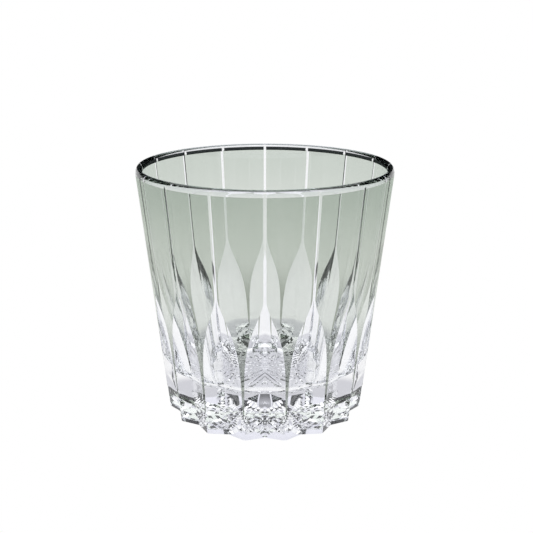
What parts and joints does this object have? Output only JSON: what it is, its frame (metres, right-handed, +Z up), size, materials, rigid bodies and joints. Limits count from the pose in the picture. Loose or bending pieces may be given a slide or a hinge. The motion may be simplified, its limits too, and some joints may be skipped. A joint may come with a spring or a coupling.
{
  "type": "whiskey tumbler",
  "caption": "Tapered cut-crystal tumbler with a thick star-cut base and a smoke-tinted casing parted by mitre lines that open into deep leaf cuts.",
  "frame": {"origin": "centre of the foot, on the surface that the glass stands on", "axes": "+Z up along the glass's own axis, from the foot to the rim; one of the cuts faces -Y"},
  "size_m": [0.09, 0.09, 0.089],
  "materials": {
    "clear_crystal": "polished clear crystal",
    "smoke_glass": "polished grey-green smoke tint"
  },
  "bodies": {
    "root": {"crystal_body": "clear_crystal", "smoke_casing_01": "smoke_glass", "smoke_casing_02": "smoke_glass", "smoke_casing_03": "smoke_glass", "smoke_casing_04": "smoke_glass", "smoke_casing_05": "smoke_glass", "smoke_casing_06": "smoke_glass", "smoke_casing_07": "smoke_glass", "smoke_casing_08": "smoke_glass", "smoke_casing_09": "smoke_glass", "smoke_casing_10": "smoke_glass", "smoke_casing_11": "smoke_glass", "smoke_casing_12": "smoke_glass", "smoke_casing_13": "smoke_glass", "smoke_casing_14": "smoke_glass", "smoke_casing_15": "smoke_glass", "smoke_casing_16": "smoke_glass"}
  },
  "joints": []
}
